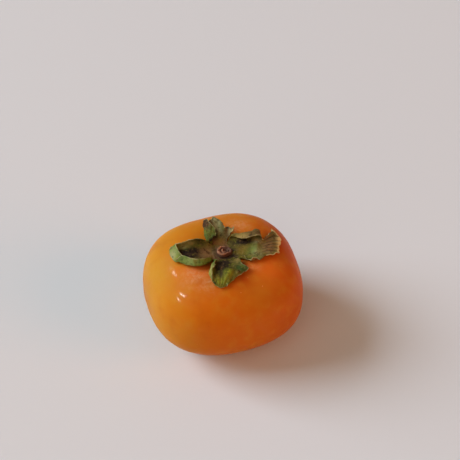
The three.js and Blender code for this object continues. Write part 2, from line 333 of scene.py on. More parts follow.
# %% Fruit surface
FRUIT_COLUMNS = 360
FRUIT_ROWS = 240
DENT, DENT_SIZE = 0.16, 24  # height and length of the broad unevenness
RIPPLE, RIPPLE_SIZE = 0.03, 6  # height and length of the finer one
LEAN = 1.3  # how much more the outward direction leans up and down than on a round ball
CALM = 5.0  # the unevenness grows from nothing over this height above the floor


def fruit_rings():
    """Share of the half width and height, from the blossom end round the side to the stem.

    Both halves use the sine of an even angle, so the rings crowd together at the side."""
    even = np.linspace(0, math.pi / 2, FRUIT_ROWS // 2 + 1)[1:]
    share = np.concatenate([np.sin(even), np.sin(even[-2::-1])])
    below = np.arange(len(share)) < len(even) - 0.5
    return share, np.where(below, base_height(share), crown_height(share))


share, height = fruit_rings()
angle = np.arange(FRUIT_COLUMNS) * 2 * math.pi / FRUIT_COLUMNS
width = half_width_at(angle)
X = share[:, None] * width * np.cos(angle)
Y = share[:, None] * width * np.sin(angle)
Z = height[:, None] + 0 * X
out = np.stack([X, Y, (Z - WAIST) * LEAN], -1)
out /= np.linalg.norm(out, axis=-1, keepdims=True)
uneven = DENT * (waves(X, Y, Z, DENT_SIZE, 9, 3) - 1)
uneven = uneven + RIPPLE * waves(X, Y, Z, RIPPLE_SIZE, 14, 5)
uneven *= np.clip((Z - 1) / CALM, 0, 1)  # none where it stands on the floor
skin = np.stack([X, Y, Z], -1) + out * uneven[..., None]
skin[..., 2] = np.maximum(skin[..., 2], 0)
ends = [(0, 0, base_height(0.0)), (0, 0, crown_height(0.0) - DENT)]
points, faces = turned_piece(skin, *ends)
print("skin surface is", np.round(np.ptp(points, axis=0), 1), "mm")


# %% Colour of the skin, with some painted light and shade
# A patch is: tone, the middle of the patch in millimetres, its reach and its strength. It
# weighs most in its middle and falls off as a Gaussian of the distance. Patches of bloom,
# with one of painted sheen, are kept apart as wax and sheen, because the material breaks
# them up. A few patches are painted light and painted shade, as said beside them.
SKIN_TONES = {
    "orange": "cc6d0e",
    "yellow": "c8982e",
    "amber": "ae6618",
    "deep": "a85314",
    "red": "9c2a08",
    "painted_light": "e87228",
    "bloom_and_sheen": "d8a878",
    "painted_crack_shade": "52240f",
}
SKIN_PATCHES = [
    ("yellow", (-31, -8, 32), 20, 0.85),
    # painted shade: the left edge darker, in amber, where the skin curves away from the light
    ("amber", (-39, -6, 20), 17, 0.9),
    ("yellow", (-24, -26, 16), 16, 0.3),
    ("yellow", (-26, 16, 36), 18, 0.4),
    ("yellow", (17, -21, 41), 11, 0.4),
    ("deep", (30, -18, 22), 22, 0.75),
    ("deep", (34, 14, 26), 24, 0.7),
    ("yellow", (2, 30, 36), 16, 0.35),
    ("deep", (6, -30, 10), 16, 0.5),
    # deeper red in the hollow beside the short lobe: the skin's own red, and partly painted shade
    ("red", (9.5, -17, 46), 6, 0.7),
    ("red", (-3, -10, 45), 13, 0.4),
    ("red", (24, 10, 44), 10, 0.4),
    # painted sheen: a faint broad reflection of the window on the left side
    ("bloom_and_sheen", (-28, -10, 34), 10, 0.06),
    # painted light: a brighter skin tone that lifts the shadow cast by the boat lobe
    ("painted_light", (-16, -12, 45), 6, 0.45),
    ("bloom_and_sheen", (-13, -17, 45), 5, 0.35),
    ("bloom_and_sheen", (-6, -20, 44), 5, 0.3),
    ("bloom_and_sheen", (7, 17, 46), 5, 0.35),
    # painted light: brighter skin that lifts the shadows under the torn lobe, the boat lobe and
    # its near wall
    ("painted_light", (20, -10, 44), 8, 0.5),
    ("painted_light", (-20, 0, 44), 6, 0.3),
    ("painted_light", (-9, -13, 45), 5, 0.8),
    ("bloom_and_sheen", (14, -10, 45), 3, 0.3),
    # painted shade: dark in the narrow crack between the torn and the short lobe
    ("painted_crack_shade", (9.2, -7.9, 45), 2.3, 0.9),
]
tint = np.tile(linear(SKIN_TONES["orange"]), (len(points), 1))
wax_and_sheen = np.zeros(len(points))
for tone, place, reach, strength in SKIN_PATCHES:
    fall = np.exp(-(((points - np.array(place)) / reach) ** 2).sum(axis=1))
    if tone == "bloom_and_sheen":
        wax_and_sheen = np.maximum(wax_and_sheen, strength * fall)
    else:
        tint += (np.array(linear(SKIN_TONES[tone])) - tint) * (strength * fall)[:, None]
attributes = {"tint": tint, "wax_and_sheen": wax_and_sheen}
fruit = add_piece("fruit_skin", points, faces, "fruit", attributes)


# %% [markdown]
# ### Skin
#
# A ripe persimmon's skin: thin smooth wax over flesh that lets some light in, so it glows
# a little and its reflections are soft. The colour is yellower on one side and deep red by
# the hollow, where part of the red is painted shade; the left edge is painted darker as
# shade. Lighter patches under the lobes are painted light that lifts their shadows, and a
# dark patch in the crack between two lobes is painted shade. Soft mottling, a pale bloom of
# wax that has been rubbed off in places, with one faint patch of painted sheen, tiny brown
# flecks and pale dots lie over it; the pale dots are partly painted highlights for tiny
# glints. Noise gives all of these at their real sizes, which is simpler than painting them
# and holds at every distance.

# %% Fruit material
def speckled(tree, colour, hue, spot, spacing_mm, rarity, strength, radius):
    """The colour with small round spots of a hue: one in each cell of a Voronoi pattern
    whose random value is above rarity. A spot's radius is a share of the cells' spacing."""
    cells = node(tree, "TexVoronoi", {"Vector": spot, "Scale": 1 / (spacing_mm * MM)})
    chance = {0: cells.outputs["Color"], 1: rarity}
    chosen = node(tree, "Math", chance, operation="GREATER_THAN").outputs[0]
    return stain(tree, colour, hue, cells.outputs[0], radius, 0.03, strength, times=chosen)


skin_look = {
    "Roughness": 0.45,
    "Specular IOR Level": 0.04,
    "Coat Weight": 0.07,
    "Coat Roughness": 0.12,
    "Subsurface Weight": 0.35,
    "Subsurface Radius": (1.0, 0.35, 0.1),
    "Subsurface Scale": 3 * MM,
}
skin_material, tree, shader = new_material("waxy_persimmon_skin", skin_look)
spot = node(tree, "TexCoord").outputs["Object"]
tint = node(tree, "Attribute", attribute_name="tint").outputs["Color"]
wax_and_sheen = node(tree, "Attribute", attribute_name="wax_and_sheen").outputs["Fac"]
mottling = {}  # size of the features in millimetres, detail, roughness and distortion
for name, (size_mm, detail, rough, bent) in {
    "broad": (13, 3.0, 0.5, 0.0),
    "small": (5, 2.0, 0.5, 0.0),
    "cloud": (8, 6.0, 0.65, 0.0),
    "rubbed": (3.2, 6.0, 0.7, 0.6),
}.items():
    settings = {"Vector": spot, "Scale": 1 / (size_mm * MM), "Detail": detail}
    settings |= {"Roughness": rough, "Distortion": bent}
    mottling[name] = node(tree, "TexNoise", settings).outputs[0]
red, yellow, bloom_and_sheen = (linear(SKIN_TONES[tone]) for tone in ("red", "yellow", "bloom_and_sheen"))
colour = stain(tree, tint, red, mottling["broad"], 0.45, 0.25, 0.2)
colour = stain(tree, colour, yellow, mottling["broad"], 0.5, 0.85, 0.3)
colour = stain(tree, colour, yellow, mottling["small"], 0.45, 0.8, 0.2)
colour = stain(tree, colour, linear("e6c8b0"), mottling["cloud"], 0.5, 0.8, 0.025)
# bloom rubbed off in places, together with the one patch of painted sheen
colour = stain(tree, colour, bloom_and_sheen, mottling["rubbed"], 0.4, 0.66, 1.9, 0.5, times=wax_and_sheen)
colour = speckled(tree, colour, linear("6a2a0e"), spot, 2.6, 0.8, 0.35, 0.08)
# pale dots: lenticels, and partly painted highlights that stand for tiny glints
colour = speckled(tree, colour, linear("f0b070"), spot, 4.1, 0.65, 0.6, 0.09)
tree.links.new(colour, shader.inputs["Base Color"])
pores = node(tree, "TexNoise", {"Vector": spot, "Scale": 1 / (3 * MM)}).outputs[0]
relief = node(tree, "Bump", {"Strength": 0.3, "Distance": 0.25 * MM, "Height": pores})
tree.links.new(relief.outputs[0], shader.inputs["Coat Normal"])
fruit.data.materials.append(skin_material)
print("skin patches:", len(SKIN_PATCHES))


# %% [markdown]
# ## The calyx
#
# The calyx is four leafy lobes grown from a thick disc. As they dried, their margins rolled
# up and their tips curled. A cloth simulation could curl a flat leaf, but it can't be
# steered to these very folds. So each lobe is a loft: a smooth surface through a few
# stations, each a line across the lobe. Folds come from stations whose last points lie back
# over the ones before. Veins, crinkles and a thinner margin are added to that surface.
#
# A lobe is written down as follows; lengths are in millimetres and angles in degrees.
#
# - azimuth is the way it points, and arc the part of the disc that it grows from.
# - ragged is how far its margin wanders, and pleat the height of its pleats.
# - papery is how far the very tip has gone straw-coloured, from 0 to 1.
# - faces names the tones of its upper and its under face.
# - A station is: distance out, bow of its middle, slant, then seven (across, lift) pairs. A
#   third value in a pair moves that point further out.
# - A patch on the upper or under face is: tone, distance out, across, its two half sizes
#   and its strength.

# %% The boat-shaped lobe
# Both margins roll up and the tip rolls back over, which leaves a dark hollow.
boat = dict(
    azimuth=190, arc=(-54, 37), ragged=0.15, pleat=0, papery=0, faces=("olive", "fresh"),
    stations=[
        (6.6, 0, 0,
         (-5.8, 3), (-5.2, 1.5), (-2.4, 0.9), (0.8, 0.9), (3.8, 0.9), (6.4, 1.8), (5.4, 3)),
        (10, 0, 0,
         (-5.8, 4), (-6, 1.8), (-3, 0.9), (1.5, 0.9), (6, 0.9), (9.8, 2.2), (7.8, 4.1)),
        (14, 0, 0,
         (-4.8, 4.3), (-5.4, 1.9), (-2.8, 0.9), (1.5, 0.9), (6.4, 0.9), (10.6, 2.4), (8.3, 4.6)),
        (17.6, 0, 0,
         (-3.8, 4.5), (-4.6, 1.9), (-2.4, 0.9), (1, 0.9), (4.6, 0.9), (8.6, 2.2), (6.2, 4.6)),
        (20.4, 0.3, -0.3,
         (-3.4, 4.3), (-4.2, 1.8), (-2.4, 0.9), (-0.5, 0.9), (2.2, 0.9), (5.8, 1.7), (4.2, 4.2)),
        (22.8, 1.3, -0.8,
         (-3.8, 3), (-4, 1.9), (-2.8, 1.4), (-1.2, 1.3), (0.8, 1.3), (3.2, 1.5), (4.2, 2.5)),
        (20.4, 0.5, -0.5,
         (-3.6, 4.5), (-3.2, 4.6), (-2, 4.6), (-0.4, 4.6), (1.2, 4.5), (2.8, 4.4), (3.9, 4.3)),
    ],
    # The near-black patches, here and on the under face, are painted shade: the dark hollow
    # inside the boat, under its rolled margin and under its curled-back tip.
    upper=[
        ("bark", 8.8, 1, 4, 4, 1.2), ("tan", 6.2, -1.5, 2.6, 3, 0.8),
        ("shade_and_dark_spot", 15, 0, 4, 4.2, 1.8), ("shade_and_dark_spot", 18.5, -0.5, 2.5, 3.5, 0.8),
        ("green", 12, -5, 5, 1.8, 1), ("fresh", 18.5, -4, 3.5, 1.6, 1.3),
        ("pale", 17.6, -3.9, 2.4, 1.2, 0.6), ("moss", 14.6, -5.2, 2.8, 1, 1),
        ("pale", 15, -5.4, 2.6, 1, 0.4), ("shade_and_dark_spot", 10, -5.6, 2.2, 1.6, 0.6),
        ("shade_and_dark_spot", 10, 7, 4, 1.6, 0.9),
    ],
    under=[
        ("pale", 24, 1, 2.6, 3.6, 0.75), ("shade_and_dark_spot", 19.6, 1, 0.9, 6, 0.7),
        ("green", 10, 9, 3, 4, 0.2), ("fresh", 16, 8.5, 4.5, 3, 1),
        ("pale", 16, 8.5, 4, 2.5, 0.22),
    ],
)

# %% The torn lobe
# Its far margin folds over as a flap, and its end has dried to an open pleated fan.
torn = dict(
    azimuth=0, arc=(-40, 72), ragged=0.3, pleat=0.17, papery=0.8, faces=("olive", "olive"),
    stations=[
        (5.8, 0, -1.8,
         (-5.2, 1.4), (-4, 0.9), (-2, 0.9), (1, 0.9), (4.8, 0.9), (8.8, 2.6), (7.4, 3.7)),
        (9, 0, -0.6,
         (-6.2, 3.2), (-6.3, 1.5), (-3, 0.9), (1, 0.9), (5, 1), (8.2, 3.2), (4.6, 4.2)),
        (12.8, 0, 0,
         (-9.9, 2.4), (-7.4, 1), (-4, 0.9), (1, 0.9), (5.4, 1.2), (8.8, 3.6), (4, 4.4)),
        (15.6, 0, 1.5,
         (-6.9, 2.5), (-6.8, 1.1), (-3.6, 1.4), (1, 1.6), (5.4, 1.3), (9.6, 3.5), (5.6, 4.4)),
        (17.8, 0, 0.8,
         (-8, 1.8), (-6, 1.1), (-3, 0.9), (-0.2, 0.9), (2.4, 0.9), (4.6, 1.2), (5.8, 1.9)),
        (19.6, 2.6, 2.2,
         (-6.6, 1.4), (-4.4, 1.1), (-1.4, 1.2), (1.8, 1.3), (4.8, 1.4), (8.2, 1.6), (10.8, 2.1)),
        (20.6, 6.6, 2.4,
         (-5.6, 1.6), (-3.8, 1.8), (-1.2, 1.6), (2.6, 1.6, -1.2), (6.6, 1.9, -0.3),
         (9.6, 2.1, 1.2), (14.6, 2.6)),
    ],
    # The near-black patches are painted shade under the folded flap and round the root.
    upper=[
        ("ochre", 9.4, 0.3, 3.5, 3.5, 1.3), ("shade_and_dark_spot", 6.5, 5.5, 3, 1.3, 0.8),
        ("shade_and_dark_spot", 5, 1.5, 2, 2, 0.7), ("shade_and_dark_spot", 5.6, -3.4, 2, 1.8, 1),
        ("green", 14, -1, 3, 4, 1), ("shade_and_dark_spot", 10.5, 5, 3.8, 1.5, 1.5),
        ("fresh", 16, -2, 2, 2.6, 1), ("pale", 16, -3, 2.2, 2.6, 0.5),
        ("fresh", 13.5, -6, 3, 2.4, 0.5), ("bark", 21, 2, 3.6, 9, 1),
        ("straw", 27, 6, 1.7, 9, 1.6), ("pale", 13, -10, 3.5, 1.4, 0.8),
        ("brown", 13.4, -4.9, 1.6, 1.3, 0.4), ("pale", 15.8, 4.6, 1.8, 1.6, 0.7),
    ],
    under=[
        ("tan", 15, -7, 3, 2, 0.9), ("sand", 9, 4, 4, 4, 1), ("brown", 15, 6, 4, 4, 0.7),
    ],
)

# %% The curled lobe
# It points away. An ear on one side stands up and the other side folds in.
curled = dict(
    azimuth=112, arc=(-39, 22), ragged=0.45, pleat=0.1, papery=0, faces=("brown", "green"),
    stations=[
        (7, 0, -0.1,
         (-5.4, 1.6), (-4.6, 0.9), (-2.6, 0.9), (0.2, 0.9), (2.4, 1.1), (4.7, 2.4), (2.2, 3.8)),
        (8.7, 0, -0.2,
         (-9.6, 3.4), (-6, 1.4), (-3, 0.9), (0.2, 0.9), (3, 1.2), (4.9, 3), (0.2, 4.6)),
        (11, 0, 0,
         (-5, 3.8), (-4.8, 1.8), (-2.6, 0.9), (0.2, 0.9), (3, 1.3), (4.6, 3.4), (-0.4, 5)),
        (13.2, 0, 0,
         (-4.6, 5), (-4.2, 2.6), (-2.2, 1.2), (0.3, 1.2), (2.6, 1.8), (4.1, 3.8), (0.4, 5.4)),
        (15.4, 0, 0,
         (-3.6, 5.6), (-3.2, 3.8), (-1.4, 2.4), (0.6, 2.2), (2.5, 2.8), (3.7, 4.4), (1.3, 5.8)),
        (17.2, 0, 0,
         (-2.2, 6), (-1.6, 5), (-0.6, 4.4), (0.6, 4.2), (1.6, 4.6), (2.4, 5.2), (1.6, 6.2)),
    ],
    # The near-black patches, here and on the under face, are painted shade in its folds and under
    # its standing ear.
    upper=[
        ("olive", 8, -2, 3, 3, 1), ("tan", 6.8, -2.5, 3, 2.4, 0.95), ("sand", 6.6, 0, 2, 2, 0.3),
        ("shade_and_dark_spot", 11, 0, 2.6, 1.6, 1.5), ("shade_and_dark_spot", 12.4, -1.6, 1.8, 1.3, 1.6),
        ("green", 13, -3, 5, 1.8, 1), ("pale", 15.4, -3, 2.2, 1.8, 1.4),
        ("pale", 12, -3, 2.4, 1.3, 0.6), ("pale", 9, -8.4, 2, 1.6, 1.1),
    ],
    under=[
        ("brown", 15, 2.6, 2.6, 3, 1.2), ("shade_and_dark_spot", 15.4, 2.4, 2, 2, 0.5),
        ("shade_and_dark_spot", 6.4, 3, 1.1, 3, 1.2),
    ],
)

# %% The short lobe
# It points to the front, lies nearly flat and has a small side lobe.
short = dict(
    azimuth=268, arc=(-40, 40), ragged=0.15, pleat=0.1, papery=0, faces=("olive", "green"),
    stations=[
        (7.6, 0, 0.4,
         (-2.4, 2.8), (-3.5, 1.5), (-2.2, 0.9), (0.4, 0.9), (3.2, 0.9), (5.6, 1.6), (7.6, 3.4)),
        (10.4, 0, 0.4,
         (-3, 3), (-4.2, 1.7), (-2.6, 0.9), (0.2, 0.9), (3.4, 0.9), (6.3, 1.1), (9.2, 2.2)),
        (13.2, 0, 0,
         (-3.1, 3.3), (-4.8, 1.8), (-3, 0.9), (0.2, 0.9), (4, 1.2), (8.2, 1.4), (12.2, 1.8)),
        (15.6, 0, 0,
         (-3.6, 3.3), (-5.3, 1.6), (-3.2, 0.9), (0.2, 1.2), (3.6, 2.6), (6.8, 1.8), (9.9, 1.2)),
        (17.8, 0, 0,
         (-4.1, 2.9), (-5.2, 1.4), (-3, 0.9), (0, 1), (2.9, 2.2), (5.2, 1.6), (7.2, 1)),
        (20.2, 0.4, 0,
         (-4, 2), (-3.8, 1.1), (-2.2, 0.9), (0, 0.9), (2.1, 1.3), (3.8, 1.2), (5.4, 0.9)),
        (22.2, 2, 0,
         (-2.4, 1.2), (-1.8, 0.9), (-1, 0.9), (0, 0.9), (1, 1), (2, 1), (2.8, 0.9)),
    ],
    # The near-black patches are painted shade in the lobe's hollow.
    upper=[
        ("shade_and_dark_spot", 9.4, 0.9, 4.5, 3.5, 1.5), ("shade_and_dark_spot", 14, 0, 3.5, 2.7, 1.8),
        ("yellow", 17, 3.2, 2.2, 2, 1.2), ("yellow", 21, -0.5, 2.8, 4, 0.9),
        ("yellow", 15.5, -4.2, 4, 1, 0.8), ("shade_and_dark_spot", 17.6, 0.1, 2.2, 0.9, 0.8),
        ("deep", 13, 9, 2.8, 3.4, 1.3), ("tan", 8, 7.6, 1.5, 1.5, 0.4),
        ("pale", 19, -5, 1.5, 1, 0.8),
    ],
    under=[
        ("yellow", 17, -6, 6, 3, 0.7), ("straw", 16, -4.6, 5, 1, 0.3),
    ],
)

# %% The four lobes together
LOBES = {"boat": boat, "torn": torn, "curled": curled, "short": short}
for name, lobe in LOBES.items():
    print(name, "lobe has", len(lobe["stations"]), "stations")


# %% Tones of a half dried calyx, with its painted shade
TONES = {
    # near-black: as patches it is painted shade in hollows and under rolled margins; the
    # material's noise also makes dark spots of it
    "shade_and_dark_spot": "1d1510",
    "brown": "5f4630",
    "bark": "826a46",
    "olive": "60581f",
    "green": "56682a",
    "moss": "4a5b24",
    "deep": "34481a",
    "fresh": "62782c",
    "yellow": "7b821e",
    "ochre": "685618",
    "tan": "96794c",
    "sand": "a89054",
    "straw": "d8c684",
    "pale": "aeac7c",
}
print("tones:", len(TONES))


# %% A smooth sheet through the stations
ROOT_DEPTH = 2.5  # a lobe starts this far inside the disc's edge
ROOT_STEP = 1.0  # least distance between an arc on the disc and what follows it


def through(rows, t):
    """A smooth (Catmull-Rom) curve through evenly spaced rows; t runs from 0 to 1."""
    rows = np.asarray(rows, float)
    last = len(rows) - 1
    place = np.clip(t, 0, 1) * last
    i = np.minimum(place.astype(int), last - 1)
    f = (place - i).reshape(-1, *([1] * (rows.ndim - 1)))
    ends = [2 * rows[0] - rows[1]], [2 * rows[-1] - rows[-2]]
    rows = np.concatenate([ends[0], rows, ends[1]])
    a, b, c, d = rows[i], rows[i + 1], rows[i + 2], rows[i + 3]
    bend = (2 * a - 5 * b + 4 * c - d) * f + (3 * b - a - 3 * c + d) * f * f
    return 0.5 * (2 * b + (c - a + bend) * f)


def control_rows(arc, stations):
    """Two arcs on the disc and then the stations, as (out, across, lift) points.

    A station's points lie at its distance out, plus its bow times 1 - v squared, plus its
    slant times v, where v runs from -1 to 1 across the lobe. Each arc stops short of the
    first station, so that the leaf doesn't fold there."""
    v = np.linspace(-1, 1, 7)
    spread = np.radians(arc[0] + (arc[1] - arc[0]) * (v + 1) / 2)
    rows = []
    for out, bow, slant, *pairs in stations:
        pairs = np.array([(*pair, 0)[:3] for pair in pairs])
        distance = out + bow * (1 - v**2) + slant * v + pairs[:, 2]
        rows.append(np.stack([distance, pairs[:, 0], pairs[:, 1]], -1))
    first = rows[0][:, 0]
    for radius, step in ((DISC_RADIUS, ROOT_STEP), (DISC_RADIUS - ROOT_DEPTH, 2 * ROOT_STEP)):
        distance = np.minimum(radius * np.cos(spread), first - step)
        rows.insert(0, np.stack([distance, radius * np.sin(spread), np.full(7, LEAF_LIFT)], -1))
    return np.array(rows)


# %% Directions and smoothing
def unit(vectors):
    """The same vectors with a length of 1."""
    return vectors / (np.linalg.norm(vectors, axis=-1, keepdims=True) + 1e-9)


def leaf_normals(points):
    """Normals of a grid of points, upwards where the leaf lies flat."""
    return unit(np.cross(np.gradient(points, axis=0), np.gradient(points, axis=1)))


def relaxed(grid, times):
    """The grid after each point has moved, so many times, towards the mean of its neighbours."""
    for _ in range(times):
        wide = np.pad(grid, ((1, 1), (1, 1), (0, 0)), mode="edge")
        beside = wide[:-2, 1:-1] + wide[2:, 1:-1] + wide[1:-1, :-2] + wide[1:-1, 2:]
        grid = (2 * grid + beside) / 6
    return grid


# %% Middle surface of a lobe
# U runs from 0 at the root to 1 at the tip, and V from -1 to 1 across the lobe.
LEAF_ROWS = 150
LEAF_COLUMNS = 120
PLEAT_RATE = 21  # radians of pleat from the midrib to a margin
BITE = 2.6  # length of the bites in a margin


def grow(value, start, length):
    """0 up to start, then a straight rise to 1 over length."""
    return np.clip((value - start) / length, 0, 1)


def pleats(lobe, U, V):
    """Height of the folds that run out along a dry lobe, none near its root.

    It is a sine across the lobe, whose phase wanders so that no two folds are alike."""
    return lobe["pleat"] * grow(U, 0.7, 0.15) * np.sin(PLEAT_RATE * V + 2 * np.sin(3 * V))


def leaf_middle(lobe, seed):
    """Middle surface of a lobe on a grid, and its u, v, distance out and distance across.

    The loft is taken along the lobe and then across it, the pleats are added to its lift,
    and it is turned to its azimuth and laid on the skin. The margins wander a little, so
    that they look bitten and dry rather than cut."""
    u = np.linspace(0, 1, LEAF_ROWS)
    v = np.linspace(0, 1, LEAF_COLUMNS)
    surface = through(control_rows(lobe["arc"], lobe["stations"]), u)
    surface = through(surface.transpose(1, 0, 2), v).transpose(1, 0, 2)
    U, V = np.meshgrid(u, v * 2 - 1, indexing="ij")
    margin = np.maximum(np.abs(V) ** 6, grow(U, 0.85, 0.15) ** 2) * grow(U, 0.2, 0.2)
    out, aside, lift = np.moveaxis(surface, -1, 0)
    out = out + lobe["ragged"] * margin * waves(out, aside, 0, BITE, 12, seed)
    aside = aside + lobe["ragged"] * margin * waves(out, aside, 0, BITE, 12, seed + 1)
    lift = lift + pleats(lobe, U, V)
    turn = math.radians(lobe["azimuth"])
    x = out * math.cos(turn) - aside * math.sin(turn)
    y = out * math.sin(turn) + aside * math.cos(turn)
    middle = np.stack([x, y, skin_at(x, y) + np.maximum(lift, LEAF_LIFT)], -1)
    return middle, U, V, out, aside


# %% Veins
VEIN_COUNT = 11  # side veins on each half of a lobe
VEIN_SLANT = 0.32  # how far along the lobe a side vein has come at the margin
MIDRIB_WIDTH = 0.06  # as a share of the half width
VEIN_WIDTH = 0.13  # as a share of the distance between side veins


def vein_relief(U, V):
    """A midrib and side veins that leave it at a slant, between 0 and 1.

    Each vein is a Gaussian of the distance from its line, and all of them fade out towards
    the root, the tip and the margins."""
    fade = grow(U, 0.12, 0.1) * np.clip((0.98 - U) / 0.1, 0, 1)
    midrib = np.exp(-((V / MIDRIB_WIDTH) ** 2))
    phase = (U - VEIN_SLANT * np.abs(V) ** 1.2) * VEIN_COUNT
    side_veins = np.exp(-((np.abs(phase - np.round(phase)) / VEIN_WIDTH) ** 2))
    side_veins *= np.clip(np.abs(V) / 0.15, 0, 1) * np.clip((1 - np.abs(V)) / 0.25, 0, 1)
    return fade * np.maximum(midrib, 0.6 * side_veins)


# %% Faces of a leaf
def leaf_faces(rows, columns):
    """Upper face, under face and the rim that joins them, all facing out."""
    i, j = np.meshgrid(np.arange(rows - 1), np.arange(columns - 1), indexing="ij")
    a, b = (i * columns + j).ravel(), ((i + 1) * columns + j).ravel()
    under = rows * columns
    upper_faces = np.stack([a, b, b + 1, a + 1], -1)
    under_faces = np.stack([a, a + 1, b + 1, b], -1) + under
    corner = np.arange(rows * columns).reshape(rows, columns)
    loop = np.concatenate([
        corner[:, 0], corner[-1, 1:], corner[-2::-1, -1], corner[0, -2:0:-1],
    ])
    after = np.roll(loop, -1)
    rim = np.stack([loop, loop + under, after + under, after], -1)
    return np.concatenate([upper_faces, under_faces, rim])


# %% Tint of a lobe
FOLD_SHADE = 3.0  # how fast a pleat darkens with its depth in millimetres
TIP = 0.97  # from here on, as a share of the length, the tip of a papery lobe is pale


def leaf_tint(lobe, U, out, aside, folds):
    """Colour of both faces: the face's own tone, with soft patches of other tones over it.

    A patch weighs most in its middle and falls off as a Gaussian of the distance; the
    near-black patches are painted shade. The bottoms of the pleats get painted shade too,
    and the tip of a papery lobe is straw-coloured."""
    tints = []
    for base, patches in zip(lobe["faces"], (lobe["upper"], lobe["under"])):
        tint = np.broadcast_to(linear(TONES[base]), (*out.shape, 4)).copy()
        for tone, far, wide, long_half, wide_half, strength in patches:
            fall = np.exp(-(((out - far) / long_half) ** 2) - ((aside - wide) / wide_half) ** 2)
            weight = np.clip(strength * fall, 0, 1)[..., None]
            tint = tint * (1 - weight) + np.array(linear(TONES[tone])) * weight
        tint = tint * (1 - np.clip(-FOLD_SHADE * folds, 0, 1))[..., None]
        papery = lobe["papery"] * grow(U, TIP, 0.015)[..., None]
        tint += (np.array(linear(TONES["straw"])) - tint) * papery
        tints.append(tint.reshape(-1, 4))
    return np.concatenate(tints)


# %% One whole lobe
LEAF_THICK = 0.7  # at the midrib
LEAF_THIN = 0.3  # at the margin
CRINKLES = [(0.30, 5, 10), (0.18, 2.2, 14)]  # height, length and number of waves
SMOOTHING = 8  # turns of relaxing the directions in which the leaf gets its thickness
VEIN_SUNK = 0.12  # depth of the veins in the upper face
VEIN_PROUD = 0.15  # height of the veins on the under face
CLEAR_UNDER, CLEAR_UPPER = 0.1, 0.3  # least height of the two faces over the skin


def build_lobe(name, lobe, seed):
    """One lobe as a closed leaf, with its tint and its pattern values on every point.

    The middle surface is crinkled, most at the margins, and half the thickness is then
    laid off from it to either side."""
    middle, U, V, out, aside = leaf_middle(lobe, seed + 2)
    loose = grow(U, 0.2, 0.3) * (0.3 + 0.7 * np.abs(V) ** 1.5)
    x, y, z = np.moveaxis(middle, -1, 0)
    crinkle = sum(
        tall * waves(x, y, z, size, count, seed + k)
        for k, (tall, size, count) in enumerate(CRINKLES)
    )
    moved = middle + leaf_normals(middle) * (crinkle * loose)[..., None]
    normal = unit(relaxed(leaf_normals(moved), SMOOTHING))
    edge = np.maximum(np.abs(V), grow(U, 0.8, 0.2))
    half = (LEAF_THICK + (LEAF_THIN - LEAF_THICK) * edge**3) / 2
    veins = vein_relief(U, V)
    upper = moved + normal * (half - VEIN_SUNK * veins)[..., None]
    under = moved - normal * (half + VEIN_PROUD * veins)[..., None]
    for face, clear in ((under, CLEAR_UNDER), (upper, CLEAR_UPPER)):
        face[..., 2] = np.maximum(face[..., 2], skin_at(face[..., 0], face[..., 1]) + clear)
    points = np.concatenate([upper.reshape(-1, 3), under.reshape(-1, 3)])
    attributes = {
        "margin": np.tile((edge * grow(U, 0.25, 0.1)).ravel(), 2),
        "veins": np.tile(veins.ravel(), 2),
        "tint": leaf_tint(lobe, U, out, aside, pleats(lobe, U, V)),
    }
    faces = leaf_faces(LEAF_ROWS, LEAF_COLUMNS)
    return add_piece("calyx_" + name, points, faces, "calyx", attributes)


# %% Build the lobes
# Each lobe draws its unevenness from seeds of its own, five apart.
lobes = {name: build_lobe(name, lobe, 20 + 5 * k) for k, (name, lobe) in enumerate(LOBES.items())}


# %% [markdown]
# ### The middle of the calyx
#
# The lobes grow together in a thick, leathery disc that lies in the hollow round the stem.
# It is turned round the stem like a lens and follows the hollow, and the roots of the lobes
# run into it.

# %% Middle disc of the calyx
# A patch is: tone, its middle in the plan and its reach.
DISC_PATCHES = [
    ("yellow", (7.5, 1), 3),
    ("bark", (-1, 5), 3.5),
    # the near-black patches are painted shade in front of the stub and round the mound
    ("shade_and_dark_spot", (1.8, -5.2), 3.6),
    ("shade_and_dark_spot", (5, -2.8), 1.4),
    ("shade_and_dark_spot", (4.8, 1.6), 1.3),
    ("bark", (-5.5, -1), 2.6),
]
DISC_COLUMNS = 96
DISC_ROWS = 24
BUMP, BUMP_SIZE = 0.16, 2.4  # height and length of the bumps
MOUND, MOUND_AT, MOUND_SPREAD = 0.8, (5.4, -0.8), 2.2  # the one higher lump


